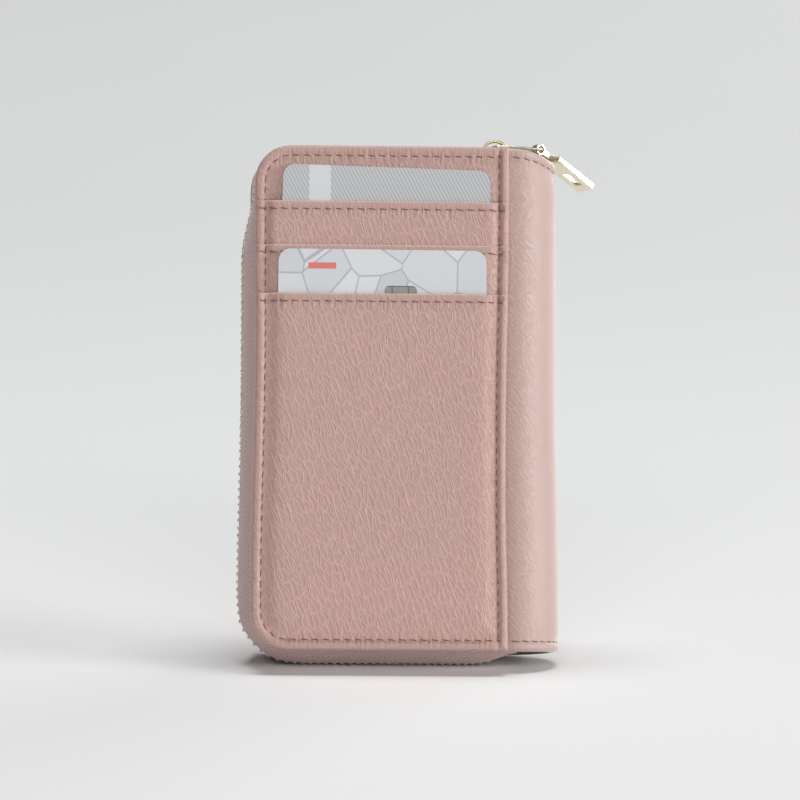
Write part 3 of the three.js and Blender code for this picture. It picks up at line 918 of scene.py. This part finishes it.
# Zip stops: short plated brass crimps, squeezed over the tape at both ends of each row of teeth.
# The lower ones sit higher than their solids, where the zip draws up towards the spine.
stop_lift = 1.6
for side in ("front", "rear"):
    for end in ("top", "bottom"):
        stop = f"zip_{end}_stop_{side}"
        crimp = softened(stop, stop + "_crimp", 0.0003, side + "_cover", teeth_metal, "zip_metal")
        if end == "bottom":
            crimp.data.transform(Matrix.Translation(standing.to_3x3() @ Vector((0, 0, stop_lift))))

# Cards: two plastic payment-card blanks with plain generic prints. The upper one is satin silver with
# fine hatching and a pale band, the lower one is gloss white with pale facets and a coral bar.
hatch_lean, hatch_pitch = math.radians(28), 0.00085
band_middle, band_half_width = -0.027, 0.0028
silver_card, shader = new_material("satin silver print", (0.48, 0.49, 0.50), 0.38, {"Metallic": 0.2})
place = own_place(silver_card)
hatching = add_node(silver_card, "Mapping", {"Vector": place, "Rotation": (0, hatch_lean, 0)})
hatch = add_node(
    silver_card,
    "TexWave",
    {"Vector": hatching.outputs[0], "Scale": 2 * math.pi / 20 / hatch_pitch, "Distortion": 0.0},
    bands_direction="X",
)
silver = mixed(silver_card, hatch.outputs["Fac"], (0.34, 0.345, 0.36, 1), (0.50, 0.505, 0.52, 1))
across = add_node(silver_card, "SeparateXYZ", {0: place}).outputs["X"]
band = calculated(silver_card, "COMPARE", across, band_middle, band_half_width)
banded = mixed(silver_card, band, silver, (0.57, 0.575, 0.59, 1))
link(silver_card, banded, shader.inputs["Base Color"])

facet_scale = 95.0
bar_x, bar_z, bar_half_width, bar_half_height = -0.0265, 0.1035, 0.0036, 0.0008
white_card, shader = new_material("gloss white print", (0.72, 0.74, 0.76), 0.3, {"Coat Weight": 0.4})
place = own_place(white_card)
facets = add_node(white_card, "TexVoronoi", {"Vector": place, "Scale": facet_scale})
facet_tone = mixed(
    white_card, facets.outputs["Color"], (0.58, 0.595, 0.62, 1), (0.74, 0.755, 0.77, 1)
)
facet_edge = add_node(
    white_card, "TexVoronoi", {"Vector": place, "Scale": facet_scale}, feature="DISTANCE_TO_EDGE"
)
facet_line = ramp(white_card, facet_edge.outputs["Distance"], high=0.03, kind="SMOOTHSTEP")
white = mixed(white_card, facet_line, (0.40, 0.42, 0.45, 1), facet_tone)
split = add_node(white_card, "SeparateXYZ", {0: place})
bar_across = calculated(white_card, "COMPARE", split.outputs["X"], bar_x, bar_half_width)
bar_up = calculated(white_card, "COMPARE", split.outputs["Z"], bar_z, bar_half_height)
bar = calculated(white_card, "MULTIPLY", bar_across, bar_up)
link(white_card, mixed(white_card, bar, white, (0.72, 0.16, 0.14, 1)), shader.inputs["Base Color"])


def refinish(node, material):
    """Gives its finish to a solid that stays in view."""
    coats = frame["nodes"][node].data.materials
    coats.clear()
    coats.append(material)


refinish("upper_card", silver_card)
refinish("lower_card", white_card)

# The lower card's contact plate: thin plated copper, etched into pads.
# It is pressed into the card at the place that all such cards share.
plating = {"Metallic": 0.15, "Specular IOR Level": 0.3}
contacts, shader = new_material("plated contacts", (0.32, 0.32, 0.30), 0.55, plating)
upright = add_node(
    contacts, "Mapping", {"Vector": own_place(contacts), "Rotation": (math.pi / 2, 0, 0)}
)
pads = add_node(
    contacts,
    "TexBrick",
    {
        "Vector": upright.outputs[0],
        "Color1": (0.28, 0.275, 0.26, 1),
        "Color2": (0.32, 0.315, 0.30, 1),
        "Mortar": (0.10, 0.10, 0.10, 1),
        "Scale": 1.0,
        "Mortar Size": 0.00012,
        "Brick Width": 0.0042,
        "Row Height": 0.0024,
    },
    offset=0.0,
)
link(contacts, pads.outputs["Color"], shader.inputs["Base Color"])
plate = rounded_slab(
    "lower_card_contacts",
    left=-32.6,
    right=-24.2,
    bottom=84.6,
    top=94.2,
    corner=1.2,
    low_y=-17.26,
    high_y=-17.2,
    rim=0.015,
    both_sides=True,
)
stand(plate, contacts, "lower_card", "hardware")

# Boards: die-cut greyboard, glued behind the leather of both covers to keep them flat.
# Only their edges show, between the leather and the lining.


def fibre_sheet(name, color, scale):
    """Crossing fibres in one colour, fine for cloth and coarse for board and felt."""
    material, shader = new_material(name, color, 0.9)
    place = own_place(material)
    fibres = []
    for direction in ("X", "Z"):
        wave = {"Vector": place, "Scale": scale, "Distortion": 0.6}
        fibres.append(add_node(material, "TexWave", wave, bands_direction=direction).outputs["Fac"])
    woven = calculated(material, "MULTIPLY", *fibres)
    link(material, shades(material, woven, color, 0.82, 1.08), shader.inputs["Base Color"])
    raised(material, shader, woven, 0.5, 0.0001)
    return material


greyboard = fibre_sheet("greyboard", (0.40, 0.33, 0.28), 90)
refinish("front_cover_board", greyboard)
refinish("rear_cover_board", greyboard)

# Spine padding: a strip of soft felt, cut to the spine and glued between its leather and its lining.
# It holds the half round open.
felt = fibre_sheet("felt padding", (0.60, 0.55, 0.50), 130)
felt_radius, spine_tuck = 11.3, 2.5
edge_pinch, edge_pinch_run = 0.25, 3


def inside_the_spine(radius):
    def form(angle, height):
        low, high = spine_edges(angle)
        z = low + spine_tuck + (high - low - 2 * spine_tuck) * height / cover_top
        edge = np.minimum(height, cover_top - height)
        pinched = radius - edge_pinch * (1 - smooth_step(edge, 0, edge_pinch_run))
        return half_round_point(pinched, angle, z), (radius * angle, z), {}

    return form


half_round = np.linspace(0.02, math.pi - 0.02, 41)
spine_rows = grid_lines(0, cover_top, 6)
pad = grid_sheet("spine_felt", half_round, spine_rows, inside_the_spine(felt_radius))
thicken(pad, 0.9)
stand(pad, felt, "spine", "padding", "spine_padding")

# Linings: fine woven cloth, cut to the covers and the spine and glued down. The covers' cloths reach
# a little way round the spine, so that no gap shows when the wallet is opened.
lining_cloth = fibre_sheet("rose lining cloth", (0.36, 0.22, 0.21), 420)
lining_left, lining_bottom, lining_top, lining_corner = -64.2, 1.8, 129.2, 7.7
lining_face, lining_reach, lining_thickness = 9.6, 3.2, 0.3
lining_step = 4

under_covers_cloth = lining_face + 0.2
spine_cloth = grid_sheet(
    "spine_lining_cloth", half_round[::-1], spine_rows, inside_the_spine(under_covers_cloth)
)
thicken(spine_cloth, lining_thickness)
stand(spine_cloth, lining_cloth, "spine", "lining", "spine_lining")

for side, sign in (("front", -1), ("rear", 1)):

    def laid_on_board(x, z, sign=sign):
        for centre_z, up_sign in ((lining_bottom + lining_corner, -1), (lining_top - lining_corner, 1)):
            x, z = round_corner(x, z, lining_left + lining_corner, centre_z, lining_corner, up_sign)
        angle = np.maximum(x, 0) / lining_face
        low, high = spine_edges(angle)
        z = np.clip(z, low + lining_bottom, high - (cover_top - lining_top))
        y = sign * lining_face * np.cos(angle)
        return (np.minimum(x, 0) + lining_face * np.sin(angle), y, z), (x, z), {}

    on_cover = grid_lines(lining_left, 0, lining_step, high_margin=(0,))
    across = np.concatenate([on_cover, np.linspace(0, lining_reach, 8)[1:]])
    cloth = grid_sheet(
        side + "_lining_cloth",
        across[::-1] if sign < 0 else across,
        grid_lines(lining_bottom, lining_top, lining_step),
        laid_on_board,
    )
    thicken(cloth, lining_thickness)
    stand(cloth, lining_cloth, None, "lining", side + "_lining")
    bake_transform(cloth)

# Inside pockets: thin smooth leather panels with turned and topstitched lips, sewn to the linings on
# three sides. The front cover carries three stepped card slots, the rear cover a note pocket with a
# slip pocket on it.
smooth_leather = pebbled_leather("thin inside leather", (0.56, 0.35, 0.31), 30, 1.2, 0.00008)
inside_pockets = {
    "inside_card_slot_1": dict(side="front", top=117.0, face=8.95),
    "inside_card_slot_2": dict(side="front", top=104.0, face=8.25),
    "inside_card_slot_3": dict(side="front", top=91.0, face=7.55),
    "note_pocket": dict(side="rear", top=122.0, face=8.95),
    "slip_pocket": dict(side="rear", top=69.0, face=8.25),
}
pocket_left, pocket_right, pocket_bottom, pocket_corner = -62.6, -3.4, 3.4, 6.1
pocket_step = 3
seam_below_lip, lip_seam_margin = 0.6, 0.8
inside_turn, inside_roll, inside_groove, inside_groove_width = 0.25, 0.4, 0.1, 0.5


def pocket_inset(pocket, x, z):
    open_top = pocket["top"] + past_open_edge
    return edge_distance(x, z, pocket_left, pocket_right, pocket_bottom, open_top, pocket_corner, 0)


def pocket_face(pocket, x, z):
    """How far an inside pocket's face lies from the middle of the case."""
    below = pocket["top"] - z
    groove = inside_groove * bell(below - lip_seam, inside_groove_width)
    lip = inside_turn * rolled(below, inside_roll) + groove
    inset = pocket_inset(pocket, x, z)
    return pocket["face"] + lip - sewn_relief(inset, turn=0.35, groove=0.2, swell=0.1, swell_end=6.0)


for node, pocket in inside_pockets.items():
    sign = -1 if pocket["side"] == "front" else 1

    def laid_inside(x, z, pocket=pocket, sign=sign):
        centre_x, centre_z = pocket_left + pocket_corner, pocket_bottom + pocket_corner
        x, z = round_corner(x, z, centre_x, centre_z, pocket_corner, -1)
        along_top = (z - pocket_bottom < np.minimum(x - pocket_left, pocket_right - x)).astype(float)
        surface = sewn_surface(pocket_inset(pocket, x, z), along_top)
        return (x, sign * pocket_face(pocket, x, z), z), (x, z), surface

    across = grid_lines(pocket_left, pocket_right, pocket_step)
    panel = grid_sheet(
        node + "_leather",
        across[::-1] if sign < 0 else across,
        grid_lines(pocket_bottom, pocket["top"], pocket_step, high_margin=lip_lines),
        laid_inside,
    )
    thicken(panel, 0.45)
    stand(panel, smooth_leather, pocket["side"] + "_cover", "inside_leather", node)


def on_pockets(side, points):
    """Lays points of a seam on the innermost pocket that reaches them."""
    layers = [pocket for pocket in inside_pockets.values() if pocket["side"] == side]
    sign = -1 if side == "front" else 1
    laid = []
    for x, z in points:
        reaching = [pocket for pocket in layers if z <= pocket["top"]]
        face = min(float(pocket_face(pocket, np.array(x), np.array(z))) for pocket in reaching)
        laid.append((x, sign * (face + edge_sink), z))
    return laid


def pocket_outline(top):
    """Points of the seam round a pocket: down the left, along the bottom and up the right."""
    left, right, low = pocket_left + seam_inset, pocket_right - seam_inset, pocket_bottom + seam_inset
    radius = pocket_corner - seam_inset
    points = [(left, z) for z in np.linspace(top - seam_below_lip, low + radius, 80)]
    for angle in np.radians(np.linspace(0, 90, 9)):
        points.append((left + radius - radius * math.cos(angle), low + radius - radius * math.sin(angle)))
    points += [(x, low) for x in np.linspace(left + radius, right, 40)]
    return points + [(right, z) for z in np.linspace(low, top - seam_below_lip, 90)]


for side, tallest in (("front", "inside_card_slot_1"), ("rear", "note_pocket")):
    seam = on_pockets(side, pocket_outline(inside_pockets[tallest]["top"]))
    stitches(side + "_inside_stitching", seam, side + "_cover")
for node, pocket in inside_pockets.items():
    lip_ends = pocket_left + lip_seam_margin, pocket_right - lip_seam_margin
    lip = [(x, pocket["top"] - lip_seam) for x in np.linspace(*lip_ends, 70)]
    stitches(node + "_lip_stitching", on_pockets(pocket["side"], lip), pocket["side"] + "_cover")

# The finished wallet: the master stitch and the master tooth aren't pieces of it, so they go.
for master in (stitch_bead, tooth):
    bpy.data.objects.remove(master)
